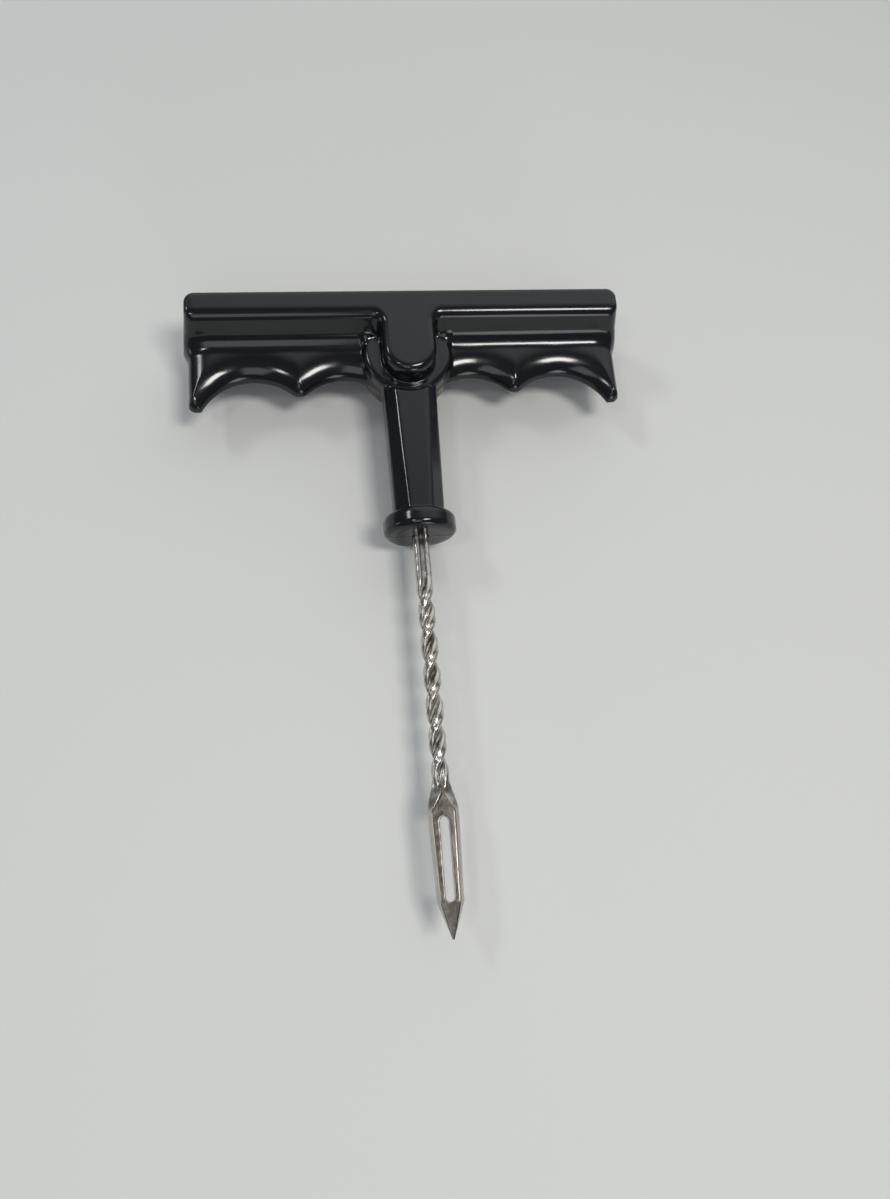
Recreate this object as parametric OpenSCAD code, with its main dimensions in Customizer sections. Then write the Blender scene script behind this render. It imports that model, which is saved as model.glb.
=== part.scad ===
// Tyre plug insertion tool: a moulded T-handle on a twisted reamer shank with an eyed lance.
// It lies on its back: X along the T-bar, Y up the shank to the palm face, Z out of the front.

/* [Palm flange] */
// Width of the T-bar
bar_w = 92; // [84:1:110]
// Depth of the handle from back to front
handle_t = 19.6; // [18:0.2:24]
// Height of the flange at its front and back
flange_h = 5.6; // [4.8:0.1:8]
// Slope of the flange's underside, in degrees
flange_slope = 20; // [15:1:25]
// Radius of the flange's long edges beside the palm
palm_r = 0.8; // [0.4:0.1:1.6]
// Radius of the flange's long edges over the grips
flange_r = 2.8; // [1:0.1:3]
// Radius of the flange's corners
corner_r = 2; // [0.4:0.1:3]
// How far each end of the flange is drawn in at its two faces
end_draft = 1.5; // [0.5:0.1:2]
// Half of the depth over which its ends stay upright
end_flat = 5; // [4.5:0.1:6]

/* [Finger grips] */
// Depth of the grips from back to front
grip_t = 6.6; // [6:0.2:7.8]
// How much the rims are set back from each face of the grips
grip_taper = 0.1; // [0:0.1:0.5]
// Height of the grips over a finger scallop
grip_h = 9.6; // [8.4:0.2:12]
// How far the grips stop short of each end of the flange
grip_inset = 0.1; // [0.1:0.1:2]
// Radius of the cove between grips and flange
cove_r = 3.7; // [1.5:0.1:4]
// Rounding of the scallop rims
rim_r = 3; // [1.5:0.1:3]
// Distance of the inner scallops from the middle
scallop_x = 13.3; // [12.6:0.1:14]
// Distance from scallop to scallop
scallop_pitch = 18.7; // [17.5:0.1:19.4]
// Radius of a finger scallop
scallop_r = 12.1; // [11:0.1:13.5]
// Radius of the tips between two scallops
mid_tip_r = 2.2; // [1.2:0.1:3]
// Radius of the tips at the ends of the bar
end_tip_r = 2.2; // [1:0.1:2.4]

/* [Hub] */
// Width of the raised pad
pad_w = 11; // [9:0.5:13]
// Length of the pad from the palm face
pad_l = 18.5; // [16:0.1:22]
// Edge radius of the pad
pad_r = 1.5; // [0.3:0.1:2]
// Distance of the hub's middle from the palm face
hub_y = 11.1; // [10:0.1:13]
// Radius of the hub round the pad
hub_r = 9.3; // [8:0.1:11]
// Thickness of the hub
hub_t = 9; // [7.9:0.1:10]
// Edge radius of the hub
hub_edge_r = 1.2; // [0.4:0.1:2]

/* [Neck and collar] */
// Length of the moulding from the palm face to the end of the collar
handle_l = 50.5; // [46:0.1:70]
// Width of the neck at the hub
neck_top_w = 11.2; // [9.5:0.1:13]
// Width of the neck at the collar
neck_end_w = 10.1; // [8:0.1:12]
// Width taken off each corner of the neck at the hub
neck_top_c = 1.9; // [1:0.1:3]
// Width taken off each corner of the neck at the collar
neck_end_c = 2.8; // [1:0.1:3]
// Height of the collar
collar_h = 4.2; // [3:0.1:8]
// Diameter of the collar
collar_d = 14.6; // [13:0.1:18]
// Edge radius of the collar
collar_r = 1.3; // [0.4:0.1:1.4]

/* [Shank] */
// Width of the bar that the shank is twisted from
bar_x = 3.2; // [2.6:0.1:4.5]
// Thickness of the bar
bar_z = 2.1; // [1.6:0.1:2.4]
// Depth of the flute in each wide face of the bar
flute_d = 0.5; // [0.2:0.05:0.6]
// Width of the flute
flute_w = 1.1; // [0.8:0.1:1.6]
// Straight length below the collar
straight_l = 10; // [4:0.1:20]
// Length of one full turn of the twist
twist_lead = 12.4; // [8:0.1:20]
// Number of turns in the twist
twist_turns = 3; // [1:0.5:5]
// Length of the tang inside the handle
tang_l = 36; // [24:0.5:40]
// Width of the flattened wings at the top of the tang
wing_w = 6.4; // [5:0.1:8]
// Height of the wings
wing_h = 6; // [3:0.5:8]
// Clearance between the tang and its socket
socket_gap = 0.1; // [0.05:0.05:0.2]

/* [Lance] */
// Length of the lance from the end of the twist
lance_l = 29.3; // [26:0.1:45]
// Width of the lance
lance_w = 6; // [5:0.1:9]
// Width of the lance where its point begins
shoulder_w = 5.2; // [4:0.1:8]
// Width of the bevel where the lance is widest
bevel_w = 0.9; // [0.5:0.1:1.4]
// Length of the point
point_l = 6.5; // [4:0.1:10]
// Length over which the bar spreads into the lance
spread_l = 7; // [5:0.1:9]
// Length from the end of the twist to the apex of the lance's flat faces
apex_l = 2.6; // [1:0.1:4]
// Length of the eye
eye_l = 15; // [8:0.1:15.5]
// Width of the eye
eye_w = 1.8; // [1.2:0.1:2.4]

/* [Hidden] */
$fn = 64;
// Sizes of the blunt tip of the point
tip_w = 0.5;
tip_t = 0.5;
// How far two solids of one piece run into each other, or a cut runs past its face
bite = 0.5;
// How far below the apex the last of the bar's section is gone
fade_l = 1;
// Squareness of the bar's section: 2 is an ellipse, more is nearer a rectangle
squareness = 4;
// Facets: rings in a turn of the twist, rings along the lance, steps across a face of the bar
turn_rings = 24;
lance_rings = 24;
face_steps = 12;
// Facets of flange and grips: steps along a scallop, round a tip and round a long edge
scallop_steps = 10;
tip_steps = 6;
edge_steps = 7;
// Flat left between the two roundings of a grip's edge
rim_flat = 0.2;
// How far a cove runs into the flange where it meets the underside
tuck = 0.025;
// Places along the tool, measured down from the palm face
flange_bend_y = flange_h + flange_r * (tan(flange_slope) - 1 / cos(flange_slope));
scallop_y = flange_h + grip_h + scallop_r;
pad_end_y = pad_l - pad_w / 2;
neck_end_y = handle_l - collar_h;
tang_y = handle_l - tang_l;
twist_y = handle_l + straight_l;
lance_y = twist_y + twist_turns * twist_lead;
overall_l = lance_y + lance_l;
// Grips: half their width, the middles of the tips and the angles at which they meet the scallops
grip_x = bar_w / 2 - grip_inset;
outer_x = scallop_x + scallop_pitch;
mid_tip_a = asin(scallop_pitch / 2 / (scallop_r + mid_tip_r));
mid_tip_y = scallop_y - (scallop_r + mid_tip_r) * cos(mid_tip_a);
end_tip_a = asin((grip_x - end_tip_r - outer_x) / (scallop_r + end_tip_r));
end_tip_y = scallop_y - (scallop_r + end_tip_r) * cos(end_tip_a);

// Lays out a piece drawn with the palm face at y = 0 and the mid-plane at z = 0
module lay_down() {
    translate([0, overall_l / 2, handle_t / 2]) children();
}

// Rectangle centred on the origin with round corners
module round_rect(w, h, r) {
    square([w - 2 * r, h], center = true);
    square([w, h - 2 * r], center = true);
    for (x = [-1, 1], y = [-1, 1]) translate([x * (w / 2 - r), y * (h / 2 - r)]) circle(r);
}

// The same rectangle from its middle line outwards, for turning
module half_round_rect(w, h, r) {
    intersection() {
        round_rect(w, h, r);
        translate([0, -h]) square([w, 2 * h]);
    }
}

// How far below the palm face the flange's underside lies, at z from the mid-plane
function underside_y(z) = flange_h + (handle_t / 2 - z) * tan(flange_slope);

// Cross-section of the flange, down from the palm face, with its own radius at each edge
module flange_section() {
    front = handle_t / 2;
    bend = [
        for (i = [0 : edge_steps]) let (a = (90 - flange_slope) * i / edge_steps)
            [-flange_bend_y - flange_r * sin(a), front - flange_r * (1 - cos(a))]
    ];
    half = concat([[0, front - palm_r], [-palm_r, front]], bend);
    polygon(concat(
        half, [[-underside_y(0), 0]], [for (i = [len(half) - 1 : -1 : 0]) [half[i].x, -half[i].y]]
    ));
    for (side = [-1, 1]) translate([-palm_r, side * (front - palm_r)]) circle(palm_r);
}

// Bar under the palm, rounded along its edges and at its two upper corners, its ends drawn in at the faces
module flange() {
    outline_h = 2 * underside_y(0);
    end_x = bar_w / 2;
    past = handle_t / 2 + bite;
    past_x = end_x - end_draft * (past - end_flat) / (handle_t / 2 - end_flat);
    intersection() {
        rotate([90, 0, 0]) linear_extrude(3 * outline_h, center = true) polygon([
            [end_x, -end_flat], [end_x, end_flat], [past_x, past], [-past_x, past],
            [-end_x, end_flat], [-end_x, -end_flat], [-past_x, -past], [past_x, -past]
        ]);
        rotate([90, 0, 90]) linear_extrude(bar_w + bite, center = true) flange_section();
        translate([0, -outline_h / 2, 0])
            linear_extrude(handle_t + bite, center = true) round_rect(bar_w, outline_h, corner_r);
    }
}

// Mean of a ring of points
function middle(ring) = [for (p = ring) 1 / len(ring)] * ring;

// Closed skin through rings of points that all run the same way round, with a fan over each end
module skin(rings) {
    n = len(rings[0]);
    last = len(rings) - 1;
    top = n * len(rings);
    sides = [
        for (k = [0 : last - 1], i = [0 : n - 1], half = [0, 1]) let (a = k * n + i, b = k * n + (i + 1) % n)
            half == 0 ? [a, b + n, b] : [a, a + n, b + n]
    ];
    first_fan = [for (i = [0 : n - 1]) [i, (i + 1) % n, top]];
    last_fan = [for (i = [0 : n - 1]) [last * n + (i + 1) % n, last * n + i, top + 1]];
    polyhedron(
        concat([for (r = rings) each r], [middle(rings[0]), middle(rings[last])]),
        concat(sides, first_fan, last_fan)
    );
}

// Points along an arc about [x, y], by angles off the Y axis, without the first one
function arc(x, y, r, from, to, steps) = [
    for (i = [1 : steps]) let (a = from + (to - from) * i / steps) [x + abs(r) * sin(a), y + r * cos(a)]
];

// Lower edge of the right grip from the middle out: scallop, tip, scallop, end tip
function grip_edge() = concat(
    arc(scallop_x, scallop_y, -scallop_r, -mid_tip_a, mid_tip_a, scallop_steps),
    arc(scallop_x + scallop_pitch / 2, mid_tip_y, mid_tip_r, -mid_tip_a, mid_tip_a, tip_steps),
    arc(outer_x, scallop_y, -scallop_r, -mid_tip_a, end_tip_a, scallop_steps),
    arc(grip_x - end_tip_r, end_tip_y, end_tip_r, -end_tip_a, 90, 2 * tip_steps)
);

// Cross-section of the grip over a point of its lower edge: cove, face and rim, drawn in at the bar's end
function grip_ring(side, p) = let (
        past = max(0, p.x - grip_x + end_tip_r),
        inset = end_tip_r - sqrt(max(0, end_tip_r * end_tip_r - past * past)),
        t = grip_t / 2 - inset,
        low_t = t - grip_taper,
        low_r = min(rim_r, low_t - rim_flat),
        cove_y = underside_y(t + cove_r) + cove_r / cos(flange_slope) - tuck,
        turn = [for (i = [0 : edge_steps]) i / edge_steps],
        cove = [
            for (u = turn) let (a = (90 - flange_slope) * (1 - u))
                [cove_y - cove_r * sin(a), t + cove_r * (1 - cos(a))]
        ],
        rim = [for (u = turn) [p.y - low_r * (1 - sin(90 * u)), low_t - low_r * (1 - cos(90 * u))]],
        front = concat([[flange_h / 2, cove[0].y]], cove, rim),
        last = len(front) - 1
    ) concat(
        [for (q = front) [side * p.x, -q.x, q.y]],
        [for (i = [0 : last]) [side * p.x, -front[last - i].x, -front[last - i].y]]
    );

// Both grips in one piece
module grips() {
    edge = grip_edge();
    last = len(edge) - 1;
    skin(concat([for (i = [0 : last]) grip_ring(-1, edge[last - i])], [for (p = edge) grip_ring(1, p)]));
}

// Raised pad, flush with the flange, with a round lower end
module pad() {
    translate([0, -flange_bend_y, 0]) rotate([90, 0, 0])
        linear_extrude(pad_end_y - flange_bend_y) round_rect(pad_w, handle_t, pad_r);
    translate([0, -pad_end_y, 0]) rotate([0, 0, 180])
        rotate_extrude(angle = 180) half_round_rect(pad_w, handle_t, pad_r);
}

// Disc round the pad, and the room over it that the neck leaves free in both faces
module hub() {
    translate([0, -hub_y, 0]) rotate_extrude() half_round_rect(2 * hub_r, hub_t, hub_edge_r);
}

module moat() {
    for (side = [-1, 1])
        translate([0, -hub_y, side * (hub_t + handle_t) / 2])
            cylinder(handle_t, r = hub_r, center = true);
}

// Square centred on the origin with its corners cut off
module cut_square(w, cut) {
    intersection() {
        square(w, center = true);
        rotate(45) square((w - cut) * sqrt(2), center = true);
    }
}

// Tapered neck, squarer at the hub and nearly octagonal at the collar
module neck() {
    hull() {
        translate([0, -hub_y, 0]) rotate([90, 0, 0])
            linear_extrude(bite) cut_square(neck_top_w, neck_top_c);
        translate([0, -neck_end_y, 0]) rotate([90, 0, 0])
            linear_extrude(bite) cut_square(neck_end_w, neck_end_c);
    }
}

module collar() {
    translate([0, -neck_end_y - collar_h / 2, 0]) rotate([90, 0, 0])
        rotate_extrude() half_round_rect(collar_d, collar_h, collar_r);
}

// Flattened wings that anchor the tang, grown by a gap all round
module wings(gap) {
    translate([0, -tang_y - wing_h / 2, 0])
        cube([wing_w + 2 * gap, wing_h + 2 * gap, bar_z + 2 * gap], center = true);
}

// Room in the handle for the bar and its wings, open at the end of the collar
module socket() {
    wings(socket_gap);
    translate([-bar_x / 2 - socket_gap, -handle_l - bite, -bar_z / 2 - socket_gap])
        cube([bar_x + 2 * socket_gap, tang_l + bite, bar_z + 2 * socket_gap]);
}

module handle() {
    color([0.07, 0.075, 0.085]) lay_down() difference() {
        union() {
            flange();
            grips();
            hub();
            difference() {
                neck();
                moat();
            }
            pad();
            collar();
        }
        socket();
    }
}

// Smooth step from 0 to 1
function ease(u) = let (c = max(0, min(1, u))) c * c * (3 - 2 * c);

// Half-width of the bar or lance at a distance y below the palm face
function half_w(y) = let (u = y - lance_y, blade_l = lance_l - point_l)
    u > blade_l ?
        shoulder_w / 2 + (tip_w - shoulder_w) / 2 * (u - blade_l) / point_l :
        bar_x / 2 + (lance_w - bar_x) / 2 * ease(u / spread_l)
            - (lance_w - shoulder_w) / 2 * ease((u - spread_l) / (blade_l - spread_l));

// Half-thickness at the middle: full as far as the point, then thinning to the tip
function half_t(y) = bar_z / 2 + (tip_t - bar_z) / 2 * max(0, (y - overall_l + point_l) / point_l);

// Height of a face at x: a fluted bar that turns into a flat blade with bevelled edges
function face_z(y, x) = let (
        hw = half_w(y),
        ht = half_t(y),
        bar = ht * pow(max(0, 1 - pow(abs(x) / hw, squareness)), 1 / squareness)
            - flute_d * exp(-pow(2 * x / flute_w, 2)),
        bevel = 1 - (1 - 2 * bevel_w / lance_w) * ease((y - lance_y - apex_l) / (spread_l - apex_l)),
        flat = ht * min(1, (1 - abs(x) / hw) / bevel)
    ) bar + (flat - bar) * ease((y - lance_y) / (apex_l + fade_l));

// One ring of points round the shank
function shank_ring(y) = let (turn = 360 / twist_lead * max(0, min(lance_y, y) - twist_y)) [
    for (i = [0 : 2 * face_steps - 1]) let (
        side = i % face_steps == 0 ? 0 : i < face_steps ? 1 : -1,
        x = half_w(y) * cos(180 * i / face_steps),
        z = side * face_z(y, x)
    ) [x * cos(turn) - z * sin(turn), -y, x * sin(turn) + z * cos(turn)]
];

// Tang, straight bar, twist and lance in one piece
module reamer_bar() {
    blade_l = lance_l - point_l;
    skin([for (y = concat(
        [tang_y + wing_h / 2],
        [for (i = [0 : turn_rings * twist_turns]) twist_y + i * twist_lead / turn_rings],
        [for (i = [1 : lance_rings]) lance_y + i * blade_l / lance_rings],
        [overall_l]
    )) shank_ring(y)]);
}

// Slot through the lance that carries the plug, ending where the point begins
module eye() {
    end_y = overall_l - point_l;
    for (y = [end_y - eye_w / 2, end_y - eye_l + eye_w / 2])
        translate([0, -y, 0]) cylinder(2 * bar_z, d = eye_w, center = true);
    translate([0, -end_y + eye_l / 2, 0]) cube([eye_w, eye_l - eye_w, 2 * bar_z], center = true);
}

module reamer_shank() {
    color([0.62, 0.61, 0.59]) lay_down() difference() {
        union() {
            wings(0);
            reamer_bar();
        }
        eye();
    }
}

handle();
reamer_shank();
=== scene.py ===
# Tyre plug insertion tool: a twisted reamer shank with an eyed lance, moulded into a T-handle.
# Lengths are in millimetres in the part's own frame, and become metres where a mesh or the camera is made.
# Floor and lamps are in metres from the start.
import math

import bpy
import numpy as np
from mathutils import Matrix, Vector


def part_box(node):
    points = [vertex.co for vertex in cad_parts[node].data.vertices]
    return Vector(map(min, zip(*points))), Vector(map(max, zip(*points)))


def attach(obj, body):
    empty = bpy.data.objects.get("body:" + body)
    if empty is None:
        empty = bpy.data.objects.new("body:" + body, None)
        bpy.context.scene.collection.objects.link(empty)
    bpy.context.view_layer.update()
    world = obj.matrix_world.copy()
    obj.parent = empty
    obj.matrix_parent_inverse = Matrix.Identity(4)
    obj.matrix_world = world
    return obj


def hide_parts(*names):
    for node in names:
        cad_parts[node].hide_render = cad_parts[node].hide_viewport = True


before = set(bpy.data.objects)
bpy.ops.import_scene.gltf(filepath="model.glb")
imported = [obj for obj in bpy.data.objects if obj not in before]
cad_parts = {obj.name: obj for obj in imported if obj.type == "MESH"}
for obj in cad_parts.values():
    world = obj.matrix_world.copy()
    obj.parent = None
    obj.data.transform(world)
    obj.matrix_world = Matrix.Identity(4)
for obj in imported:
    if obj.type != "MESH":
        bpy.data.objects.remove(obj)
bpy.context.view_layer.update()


# Reamer shank
# One bar of bright carbon steel, rolled with a flute along each wide face. Its middle is twisted cold, and
# its end is forged flat into a lance, ground to a point and slotted for the plug. The other end is the tang
# inside the handle.
MM = 0.001
palm_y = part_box("handle")[1].y / MM
collar_end_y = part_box("handle")[0].y / MM
mid_z = (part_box("handle")[0].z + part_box("handle")[1].z) / 2.0 / MM
tang_top_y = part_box("reamer_shank")[1].y / MM
tip_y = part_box("reamer_shank")[0].y / MM
bar_half_w = 1.6
bar_half_t = 1.05
flute_depth = 0.5
flute_radius = 0.62
straight_length = 10.0
twist_lead = 12.4
twist_turns = 3
twist_fade = 1.6
blade_turn = math.radians(2.6)
twist_start_y = collar_end_y - straight_length
twist_end_y = twist_start_y - twist_turns * twist_lead
lance_half_w = 3.0
shoulder_half_w = 2.6
lance_bevel = 0.9
apex_drop = 2.6
blade_drop = 3.6
spread_length = 7.0
point_length = 6.5
tip_half_w = 0.25
tip_half_t = 0.25
eye_length = 15.0
eye_radius = 0.9
wing_half_w = 3.2
wing_height = 6.0
broken_edge = 0.14
hammer_depth = 0.012
hammer_long = (2.3, 1.7)
hammer_cross = (1.1, -2.9, 0.6)
shank_grid = 0.14


def ease(u):
    """Smooth step from 0 to 1."""
    u = np.clip(u, 0.0, 1.0)
    return u * u * (3.0 - 2.0 * u)


def round_meet(a, b, radius):
    """Field of where two fields overlap, with their outer edge rounded."""
    u = np.maximum(a + radius, 0.0)
    v = np.maximum(b + radius, 0.0)
    return np.minimum(np.maximum(a, b), -radius) + np.hypot(u, v)


def round_join(a, b, radius):
    """Field of two fields together, with a fillet along their inner corner."""
    return -round_meet(-a, -b, radius)


def shank_half_w(drop):
    """Half-width of the bar, the lance and its point at a distance below the end of the twist."""
    blade_length = twist_end_y - tip_y - point_length
    spread = (lance_half_w - bar_half_w) * ease(drop / spread_length)
    narrowing = ease((drop - spread_length) / (blade_length - spread_length))
    waist = (lance_half_w - shoulder_half_w) * narrowing
    point = np.clip((drop - blade_length) / point_length, 0.0, 1.0)
    return (bar_half_w + spread - waist) * (1.0 - point) + tip_half_w * point


def soft_start(along):
    """Nought before a place and the distance after it, with the corner between them smoothed."""
    bend = np.clip(along + twist_fade, 0.0, 2.0 * twist_fade)
    return bend ** 2 / (4.0 * twist_fade) + np.maximum(along - twist_fade, 0.0)


def untwist(x, y, z):
    """Places across and out of the bar as they were before it was twisted."""
    twisted = soft_start(twist_start_y - y) - soft_start(twist_end_y - y)
    share = twisted / (twist_start_y - twist_end_y)
    turn = share * (twist_turns * 2.0 * math.pi + blade_turn)
    return x * np.cos(turn) + z * np.sin(turn), z * np.cos(turn) - x * np.sin(turn)


def shank_field(x, y, z):
    """About the distance to the skin of the shank, negative inside."""
    drop = twist_end_y - y
    across, out = untwist(x, y, z - mid_z)
    across = np.abs(across)
    out = np.abs(out)
    half_w = shank_half_w(drop)
    point = np.clip((tip_y + point_length - y) / point_length, 0.0, 1.0)
    half_t = bar_half_t + (tip_half_t - bar_half_t) * point
    # rolled bar: a rounded rectangle with a flute in each wide face
    bar = ((across / half_w) ** 4 + (out / half_t) ** 4) ** 0.25 * half_t - half_t
    flute = flute_radius - np.hypot(across, out - half_t - flute_radius + flute_depth)
    bar = round_meet(bar, flute, broken_edge)
    # forged blade: its bevels close up into an apex at the top
    bevel = lance_bevel * half_w / lance_half_w
    bevel = half_w + (bevel - half_w) * ease((drop - apex_drop) / (spread_length - apex_drop))
    slope = ((across - half_w) * half_t + out * bevel) / np.hypot(half_t, bevel)
    blade = round_meet(out - half_t, slope, broken_edge)
    blade = round_meet(blade, across - half_w + broken_edge / 2.0, broken_edge)
    share = ease(drop / blade_drop)
    body = bar * (1.0 - share) + blade * share
    # slotted eye with its edges broken
    eye_low = tip_y + point_length + eye_radius
    eye_y = np.clip(y, eye_low, eye_low + eye_length - 2.0 * eye_radius)
    body = round_meet(body, eye_radius - np.hypot(x, y - eye_y), broken_edge)
    # uneven skin left by the rolls and the hammer, two waves in radians per millimetre
    long_wave = np.sin(hammer_long[0] * y + hammer_long[1] * across)
    cross_wave = np.sin(hammer_cross[0] * y + hammer_cross[1] * out + hammer_cross[2])
    body = body + hammer_depth * long_wave * cross_wave
    # wings that hold the tang in the moulding
    wing_y = tang_top_y - wing_height / 2.0
    wings = round_meet(np.abs(x) - wing_half_w, np.abs(y - wing_y) - wing_height / 2.0, broken_edge)
    wings = round_meet(wings, np.abs(z - mid_z) - bar_half_t, broken_edge)
    body = round_join(body, wings, broken_edge)
    return np.maximum(np.maximum(body, y - tang_top_y), tip_y - y)


def skin_of(name, field, low, high, grid):
    """Mesh of where a field is zero: one point in each cell that it crosses, then drawn onto it."""
    ticks = [np.arange(a - 1.5 * grid, b + 2.5 * grid, grid) for a, b in zip(low, high)]
    value = field(*np.meshgrid(*ticks, indexing="ij", sparse=True))
    cells = tuple(n - 1 for n in value.shape)
    total = np.zeros(cells + (3,))
    count = np.zeros(cells)
    around_edges = []
    for axis in range(3):
        near = tuple(slice(None, -1) if k == axis else slice(None) for k in range(3))
        far = tuple(slice(1, None) if k == axis else slice(None) for k in range(3))
        spot = np.argwhere((value[near] < 0.0) != (value[far] < 0.0))
        a = value[near][tuple(spot.T)]
        b = value[far][tuple(spot.T)]
        place = spot.astype(float)
        place[:, axis] += a / (a - b)
        u, v = [k for k in range(3) if k != axis]
        around = []
        for back_u, back_v in ((0, 0), (1, 0), (1, 1), (0, 1)):
            cell = spot.copy()
            cell[:, u] -= back_u
            cell[:, v] -= back_v
            np.add.at(total, tuple(cell.T), place)
            np.add.at(count, tuple(cell.T), 1.0)
            around.append(cell)
        around_edges.append((around, (a < 0.0) == (axis == 1)))
    used = count > 0.0
    number = np.full(cells, -1)
    number[used] = np.arange(used.sum())
    points = total[used] / count[used][:, None] * grid + np.array([t[0] for t in ticks])
    nudge = 0.2 * grid
    reach = 0.5 * grid
    least_steepness = 0.05
    draws = 4
    for _ in range(draws):
        slope = np.stack([
            (field(*(points + nudge * unit).T) - field(*(points - nudge * unit).T)) / (2.0 * nudge)
            for unit in np.eye(3)
        ], axis=1)
        steepness = np.maximum((slope ** 2).sum(axis=1), least_steepness)
        move = -(field(*points.T) / steepness)[:, None] * slope
        points = points + np.clip(move, -reach, reach)
    quads = []
    for around, flip in around_edges:
        quad = np.stack([number[tuple(cell.T)] for cell in around], axis=1)
        quad[flip] = quad[flip][:, ::-1]
        quads.append(quad)
    mesh = bpy.data.meshes.new(name)
    mesh.from_pydata((points * MM).tolist(), [], np.concatenate(quads).tolist())
    mesh.validate()
    mesh.shade_smooth()
    piece = bpy.data.objects.new(name, mesh)
    bpy.context.scene.collection.objects.link(piece)
    return piece, points


shank_low, shank_high = ([v / MM for v in corner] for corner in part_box("reamer_shank"))
shank, shank_points = skin_of("twisted_shank", shank_field, shank_low, shank_high, shank_grid)
across, out = untwist(shank_points[:, 0], shank_points[:, 1], shank_points[:, 2] - mid_z)
untwisted = np.stack([across, shank_points[:, 1], out], axis=1).astype(np.float32)
bar_places = shank.data.attributes.new("bar_mm", "FLOAT_VECTOR", "POINT")
bar_places.data.foreach_set("vector", untwisted.ravel())


def linear(hex_colour):
    """Linear RGBA of an sRGB hex colour."""
    parts = [int(hex_colour[i:i + 2], 16) / 255.0 for i in (1, 3, 5)]
    return [c / 12.92 if c <= 0.04045 else ((c + 0.055) / 1.055) ** 2.4 for c in parts] + [1.0]


def add(tree, kind, inputs, out=0, **settings):
    """Adds a node with its settings and links, and returns one of its outputs."""
    node = tree.nodes.new(kind)
    for key, value in settings.items():
        setattr(node, key, value)
    for key, value in inputs.items():
        if isinstance(value, bpy.types.NodeSocket):
            tree.links.new(value, node.inputs[key])
        else:
            node.inputs[key].default_value = value
    return node.outputs[out]


# Bright carbon steel, rolled and then twisted cold. It is warm grey and streaked along the bar, with dull
# scale left in the flutes, where the polishing wheel didn't reach, and brighter rails beside them. The faces
# of the lance are painted dark warm grey, partly forge scale and partly painted shade for the dark room they
# mirror, and its bevels are ground bright.
steel = bpy.data.materials.new("bright_twisted_steel")
steel.use_nodes = True
tree = steel.node_tree
streak_width = 0.3
streak_length = 3.0
scale_patch = 2.4
pit_size = 0.22
pit_depth = 0.02
flute_edge = 0.75
flute_middle = 0.25
bevel_facing = 0.86
face_facing = 0.97
polished_rough = 0.16
streaked_rough = 0.34
scale_rough = 0.3
bar_mm = add(tree, "ShaderNodeAttribute", {}, "Vector", attribute_name="bar_mm")
bar_across = add(tree, "ShaderNodeSeparateXYZ", {0: bar_mm}, "X")
bar_along = add(tree, "ShaderNodeSeparateXYZ", {0: bar_mm}, "Y")
stretch = (1.0 / streak_width, 1.0 / streak_length, 1.0 / streak_width)
streak_at = add(tree, "ShaderNodeVectorMath", {0: bar_mm, 1: stretch}, operation="MULTIPLY")
streak = add(tree, "ShaderNodeTexNoise", {"Vector": streak_at, "Scale": 1.0, "Detail": 4.0})
patch = add(tree, "ShaderNodeTexNoise", {"Vector": bar_mm, "Scale": 1.0 / scale_patch, "Detail": 4.0})
pits = add(tree, "ShaderNodeTexNoise", {"Vector": bar_mm, "Scale": 1.0 / pit_size, "Detail": 2.0})
bright = add(tree, "ShaderNodeMix", {"Factor": streak, "A": linear("#A8A29A"), "B": linear("#DAD5CD")},
             "Result", data_type="RGBA")
# scale in the flutes, above the blade
off_middle = add(tree, "ShaderNodeMath", {0: bar_across}, operation="ABSOLUTE")
in_flute = add(tree, "ShaderNodeMapRange",
               {"Value": off_middle, "From Min": flute_edge, "From Max": flute_middle},
               interpolation_type="SMOOTHSTEP")
above_blade = add(tree, "ShaderNodeMapRange",
                  {"Value": bar_along, "From Min": twist_end_y - apex_drop, "From Max": twist_end_y},
                  interpolation_type="SMOOTHSTEP")
patchy = add(tree, "ShaderNodeMapRange", {"Value": patch, "From Min": 0.35, "From Max": 0.6})
flute_scale = add(tree, "ShaderNodeMath", {0: in_flute, 1: above_blade}, operation="MULTIPLY")
dull = add(tree, "ShaderNodeMath", {0: flute_scale, 1: patchy}, operation="MULTIPLY")
fluted = add(tree, "ShaderNodeMix", {"Factor": dull, "A": bright, "B": linear("#4B443C")},
             "Result", data_type="RGBA")
# forge scale and painted shade on the faces of the lance: dark warm grey, partly scale and partly standing in
# for the dark they reflect
normal = add(tree, "ShaderNodeNewGeometry", {}, "Normal")
upward = add(tree, "ShaderNodeSeparateXYZ", {0: normal}, "Z")
facing = add(tree, "ShaderNodeMath", {0: upward}, operation="ABSOLUTE")
on_face = add(tree, "ShaderNodeMapRange",
              {"Value": facing, "From Min": bevel_facing, "From Max": face_facing},
              interpolation_type="SMOOTHSTEP")
below_apex = add(tree, "ShaderNodeMath", {0: 1.0, 1: above_blade}, operation="SUBTRACT")
forged = add(tree, "ShaderNodeMath", {0: on_face, 1: below_apex}, operation="MULTIPLY")
scale_and_shade_patchy = add(tree, "ShaderNodeMapRange",
                   {"Value": patch, "From Min": 0.3, "From Max": 0.7, "To Min": 1.0, "To Max": 0.7})
forge_scale_and_painted_shade = add(tree, "ShaderNodeMath", {0: forged, 1: scale_and_shade_patchy}, operation="MULTIPLY")
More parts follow.
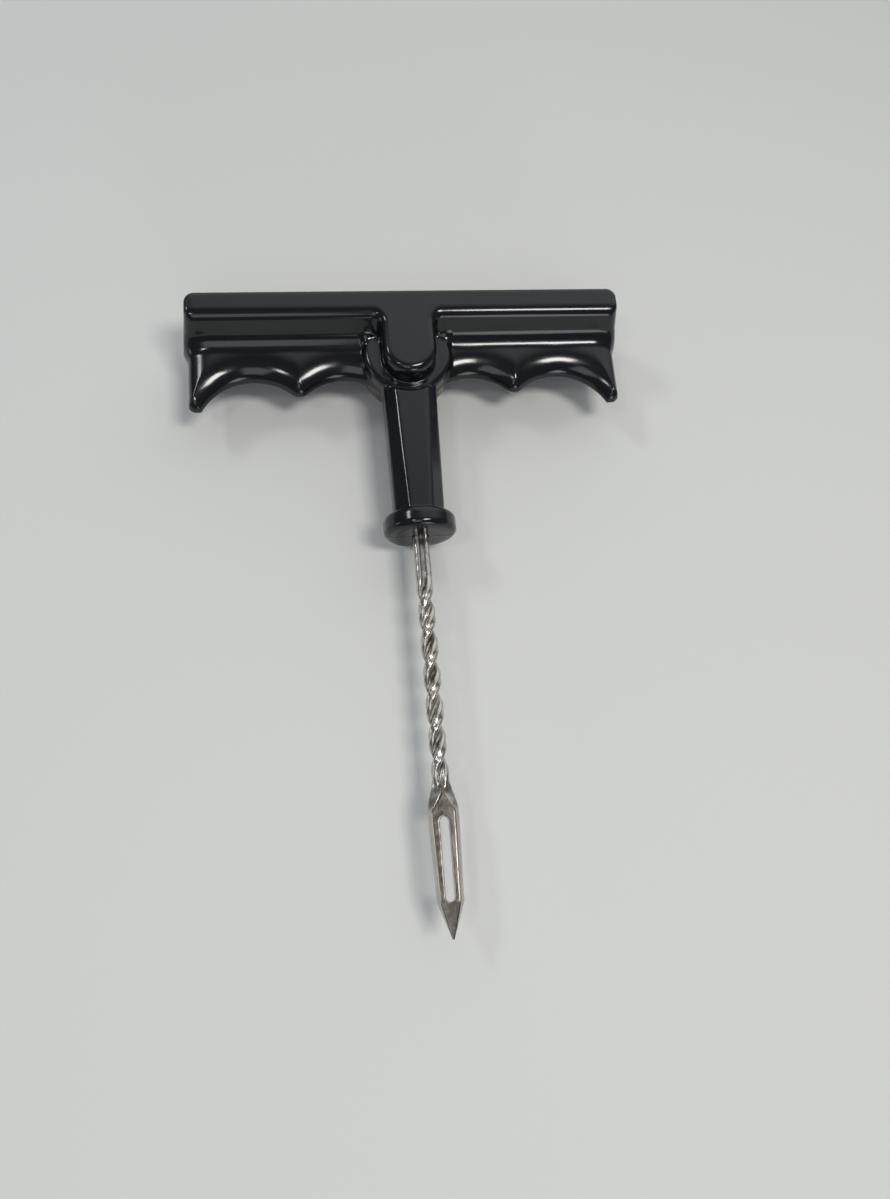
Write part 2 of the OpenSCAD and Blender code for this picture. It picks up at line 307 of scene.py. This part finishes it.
# painted shade: the lance faces are mixed toward dark warm grey, partly real forge scale and partly standing
# in for their dark reflection
skin = add(tree, "ShaderNodeMix", {"Factor": forge_scale_and_painted_shade, "A": fluted, "B": linear("#47413A")},
           "Result", data_type="RGBA")
rough_streak = add(tree, "ShaderNodeMapRange",
                   {"Value": streak, "To Min": polished_rough, "To Max": streaked_rough})
rough_dull = add(tree, "ShaderNodeMath", {0: dull, 1: scale_rough}, operation="MULTIPLY")
rough = add(tree, "ShaderNodeMath", {0: rough_streak, 1: rough_dull}, operation="ADD")
height = add(tree, "ShaderNodeMath", {0: streak, 1: pits}, operation="ADD")
bumped = add(tree, "ShaderNodeBump", {"Height": height, "Strength": 0.35, "Distance": pit_depth * MM})
shader = tree.nodes["Principled BSDF"]
shader.inputs["Metallic"].default_value = 1.0
tree.links.new(skin, shader.inputs["Base Color"])
tree.links.new(rough, shader.inputs["Roughness"])
tree.links.new(bumped, shader.inputs["Normal"])
shank.data.materials.append(steel)
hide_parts("reamer_shank")
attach(shank, "root")


# T-handle
# One injection moulding in black polypropylene, shot round the tang. A deep palm flange runs through a cove
# into thin finger grips; a raised pad and a round hub carry the neck, which ends in a collar where the shank
# comes out.
bar_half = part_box("handle")[1].x / MM
half_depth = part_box("handle")[1].z / MM - mid_z
flange_height = 5.6
underside_slope = math.radians(20.0)
flange_corner = 2.0
end_draft = 1.5
palm_edge = 0.8
flange_edge = 1.84
pad_edge = 1.5
pad_half_w = 5.5
pad_end = 13.0
plate_fillet = 1.6
pad_fillet = 0.4
cove_fillet = 2.4
cove_end = 10.5
grip_half_t = 3.3
grip_taper = 0.1
grip_half_w = 45.9
rim_depth = 3.2
rim_height = 6.0
grip_end_edge = 2.2
scallop_radius = 12.1
scallop_drop = 27.3
scallop_places = (13.3, 32.0)
mid_tip = 2.2
end_tip = 2.2
grip_end = 21.6
hub_drop = 11.1
hub_radius = 9.3
hub_half_t = 4.5
hub_edge = 1.2
hub_fillet = 0.5
neck_top_half = 5.6
neck_end_half = 5.05
neck_top_cut = 1.9
neck_end_cut = 2.8
neck_edge = 0.4
collar_radius = 7.3
collar_height = 4.2
collar_edge = 1.3
collar_fillet = 0.5
socket_gap = 0.06
flash_height = 0.07
flash_width = 0.3
handle_grid = 0.3


def handle_field(x, y, z):
    """About the distance to the skin of the handle, negative inside."""
    drop = palm_y - y
    side = np.abs(x)
    depth = np.abs(z - mid_z)
    # palm flange, sloping underneath, and pad: one plate with a fillet in each corner
    under = drop - flange_height - (half_depth - depth) * math.tan(underside_slope)
    flange = np.maximum(-drop, under * math.cos(underside_slope))
    end = side - bar_half + end_draft * depth / half_depth
    flange = round_meet(end, flange, flange_corner)
    pad = np.hypot(x, np.maximum(drop - pad_end, 0.0)) - pad_half_w
    pad = np.maximum(pad, flange_height / 2.0 - drop)
    plate = round_join(flange, pad, plate_fillet)
    on_pad = ease((drop - flange_height + flange_edge) / flange_edge)
    off_palm = ease(drop / (flange_height / 2.0)) * ease(-end / flange_edge)
    edge = flange_edge + (pad_edge - flange_edge) * on_pad
    edge = palm_edge + (edge - palm_edge) * off_palm
    plate = round_meet(plate, depth - half_depth, edge)
    # finger grips: the outline under the flange, less the scallops
    inner, outer = (np.hypot(side - place, drop - scallop_drop) for place in scallop_places)
    outline = round_meet(scallop_radius - inner, scallop_radius - outer, mid_tip)
    outline = round_meet(outline, side - grip_half_w, end_tip)
    outline = np.maximum(np.maximum(outline, flange_height / 2.0 - drop), drop - grip_end)
    face = grip_half_t - grip_taper * np.clip((drop - cove_end) / rim_height, 0.0, 1.0)
    grips = round_meet(outline * rim_depth / rim_height, depth - face, rim_depth)
    grips = round_meet(grips, side - grip_half_w, grip_end_edge)
    # neck, squarer at the hub and nearly octagonal at the collar
    fall = np.clip((drop - hub_drop) / (palm_y - collar_end_y - collar_height - hub_drop), 0.0, 1.0)
    half = neck_top_half + (neck_end_half - neck_top_half) * fall
    cut = neck_top_cut + (neck_end_cut - neck_top_cut) * fall
    neck = np.maximum(side - half, depth - half)
    neck = round_meet(neck, (side + depth - 2.0 * half + cut) / math.sqrt(2.0), neck_edge)
    neck = np.maximum(neck, np.maximum(hub_drop - drop, collar_end_y - y + broken_edge))
    # hub round the pad, left free by the neck in both faces
    from_hub = np.hypot(x, drop - hub_drop) - hub_radius
    hub = round_meet(from_hub, depth - hub_half_t, hub_edge)
    body = round_join(grips, hub, hub_fillet)
    neck = round_meet(neck, np.minimum(-from_hub, depth - hub_half_t), neck_edge)
    body = round_join(body, neck, hub_fillet)
    # cove under the flange, tightening to a small fillet round the pad
    off_pad = ease((side - pad_half_w - pad_fillet) / (hub_radius - pad_half_w))
    cove = pad_fillet + (cove_fillet - pad_fillet) * off_pad
    body = np.maximum(round_join(body, plate, cove), np.maximum(end, -drop))
    # collar
    collar_drop = palm_y - collar_end_y - collar_height / 2.0
    collar = np.abs(drop - collar_drop) - collar_height / 2.0
    collar = round_meet(np.hypot(x, z - mid_z) - collar_radius, collar, collar_edge)
    body = round_join(body, collar, collar_fillet)
    # line of flash where the two halves of the mould met
    body = body - flash_height * np.exp(-((z - mid_z) / flash_width) ** 2)
    # socket that the tang fills, shrunk onto the bar
    return np.maximum(body, socket_gap - shank_field(x, y, z))


handle_low, handle_high = ([v / MM for v in corner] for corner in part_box("handle"))
handle, _ = skin_of("moulded_handle", handle_field, handle_low, handle_high, handle_grid)

# Black polypropylene from a polished mould: deep black with a clear gloss, slightly rippled where it shrank,
# clouded where the flow cooled first, duller along fine scuffs and paler on its edges from handling.
plastic = bpy.data.materials.new("moulded_black_polypropylene")
plastic.use_nodes = True
tree = plastic.node_tree
ripple_size = 1.6
ripple_depth = 0.02
flow_size = 9.0
scuff_width = 0.12
scuff_length = 4.0
scuff_angle = math.radians(24.0)
polished_rough = 0.08
clouded_rough = 0.2
scuff_rough = 0.06
place_m = add(tree, "ShaderNodeTexCoord", {}, "Object")
ripple = add(tree, "ShaderNodeTexNoise",
             {"Vector": place_m, "Scale": 1.0 / (ripple_size * MM), "Detail": 2.0})
flow = add(tree, "ShaderNodeTexNoise",
           {"Vector": place_m, "Scale": 1.0 / (flow_size * MM), "Detail": 3.0, "Distortion": 0.8})
stretch = (1.0 / (scuff_length * MM), 1.0 / (scuff_width * MM), 1.0 / (scuff_length * MM))
turned = add(tree, "ShaderNodeVectorRotate", {"Vector": place_m, "Angle": scuff_angle})
scuff_at = add(tree, "ShaderNodeVectorMath", {0: turned, 1: stretch}, operation="MULTIPLY")
scuffs = add(tree, "ShaderNodeTexNoise", {"Vector": scuff_at, "Scale": 1.0, "Detail": 2.0})
scuff = add(tree, "ShaderNodeMapRange", {"Value": scuffs, "From Min": 0.62, "From Max": 0.72})
edges = add(tree, "ShaderNodeNewGeometry", {}, "Pointiness")
worn = add(tree, "ShaderNodeMapRange", {"Value": edges, "From Min": 0.51, "From Max": 0.56})
pale = add(tree, "ShaderNodeMath", {0: worn, 1: flow}, operation="MULTIPLY")
colour = add(tree, "ShaderNodeMix", {"Factor": pale, "A": linear("#0F1114"), "B": linear("#25272B")},
             "Result", data_type="RGBA")
rough_flow = add(tree, "ShaderNodeMapRange",
                 {"Value": flow, "To Min": polished_rough, "To Max": clouded_rough})
rough_scuff = add(tree, "ShaderNodeMath", {0: scuff, 1: scuff_rough}, operation="MULTIPLY")
rough = add(tree, "ShaderNodeMath", {0: rough_flow, 1: rough_scuff}, operation="ADD")
bumped = add(tree, "ShaderNodeBump", {"Height": ripple, "Strength": 0.25, "Distance": ripple_depth * MM})
shader = tree.nodes["Principled BSDF"]
shader.inputs["IOR"].default_value = 1.5
tree.links.new(colour, shader.inputs["Base Color"])
tree.links.new(rough, shader.inputs["Roughness"])
tree.links.new(bumped, shader.inputs["Normal"])
handle.data.materials.append(plastic)
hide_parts("handle")
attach(handle, "root")


# Floor
# A plain pale sheet under the tool, wide enough to fill every view.
floor_half = 2.0
floor_z = -0.00005
floor_mesh = bpy.data.meshes.new("pale_floor")
signs = ((-1, -1), (1, -1), (1, 1), (-1, 1))
corners = [(x * floor_half, y * floor_half, floor_z) for x, y in signs]
floor_mesh.from_pydata(corners, [], [(0, 1, 2, 3)])
floor = bpy.data.objects.new("pale_floor", floor_mesh)
bpy.context.scene.collection.objects.link(floor)
paper = bpy.data.materials.new("matt_white_paper")
paper.use_nodes = True
shader = paper.node_tree.nodes["Principled BSDF"]
shader.inputs["Base Color"].default_value = linear("#D6D6D2")
shader.inputs["Roughness"].default_value = 0.8
floor_mesh.materials.append(paper)


# Light
# A soft box over the right of the tool, weaker ones over, high and in front on the left, and two low ones in
# front and on the left. The room is pale towards the window beyond the palm flange and dim overhead, so black
# keeps its depth.
def lamp(name, at, width, depth, watts, hex_colour):
    """Soft box of a size in metres, aimed at the middle of the tool, with its width level along X."""
    light = bpy.data.lights.new(name, "AREA")
    light.shape = "RECTANGLE"
    light.size = width
    light.size_y = depth
    light.energy = watts
    light.color = linear(hex_colour)[:3]
    box = bpy.data.objects.new(name, light)
    back = Vector(at).normalized()
    across = Vector((0.0, 1.0, 0.0)).cross(back).normalized()
    turn = Matrix((across, back.cross(across), back)).transposed()
    box.matrix_world = Matrix.Translation(at) @ turn.to_4x4()
    box.visible_camera = False
    bpy.context.scene.collection.objects.link(box)


lamp("over_right", (0.18, -0.08, 0.57), 0.18, 0.11, 1.5, "#FFFDF9")
lamp("over_left", (-0.23, -0.09, 0.55), 0.05, 0.06, 0.22, "#F8FAFF")
lamp("high_left", (-0.40, 0.32, 0.52), 0.09, 0.14, 0.6, "#F6F9FF")
lamp("front_left", (-0.10, -0.33, 0.52), 0.24, 0.34, 0.38, "#F4F8FF")
lamp("low_front", (0.25, -0.90, 0.20), 0.40, 0.30, 1.2, "#F4F8FF")
lamp("low_left", (-0.88, -0.05, 0.22), 0.24, 0.20, 0.35, "#F4F8FF")
world = bpy.data.worlds.new("dim_room")
bpy.context.scene.world = world
world.use_nodes = True
tree = world.node_tree
toward = add(tree, "ShaderNodeTexCoord", {}, "Generated")
window = (0.30, 0.81, 0.50)
glow_starts = 0.62
glow_full = 0.92
near_window = add(tree, "ShaderNodeVectorMath", {0: toward, 1: window}, "Value", operation="DOT_PRODUCT")
glow = add(tree, "ShaderNodeMapRange",
           {"Value": near_window, "From Min": glow_starts, "From Max": glow_full},
           interpolation_type="SMOOTHSTEP")
room = add(tree, "ShaderNodeMix", {"Factor": glow, "A": linear("#64696E"), "B": linear("#F6F9FC")},
           "Result", data_type="RGBA")
tree.links.new(room, tree.nodes["Background"].inputs["Color"])


# Camera
# A phone held close over the lower left of the tool and turned a little, with its usual wide lens.
photo_height = 1199.0
focal_pixels = 918.0
camera_at = Vector((-19.22, -49.13, 182.92)) * MM
camera_aim = Vector((3.81, -0.38, 9.8)) * MM
camera_roll = math.radians(5.05)
lens = bpy.data.cameras.new("phone")
lens.sensor_fit = "VERTICAL"
lens.sensor_height = 24.0
lens.lens = focal_pixels / photo_height * lens.sensor_height
lens.clip_start = 0.01
camera = bpy.data.objects.new("phone", lens)
forward = (camera_aim - camera_at).normalized()
level = forward.cross(Vector((0.0, 1.0, 0.0))).normalized()
right = level * math.cos(camera_roll) + forward.cross(level) * math.sin(camera_roll)
back = -forward
turn = Matrix((right, back.cross(right), back)).transposed()
camera.matrix_world = Matrix.Translation(camera_at) @ turn.to_4x4()
bpy.context.scene.collection.objects.link(camera)
bpy.context.scene.camera = camera
bpy.context.scene.view_settings.view_transform = "Standard"
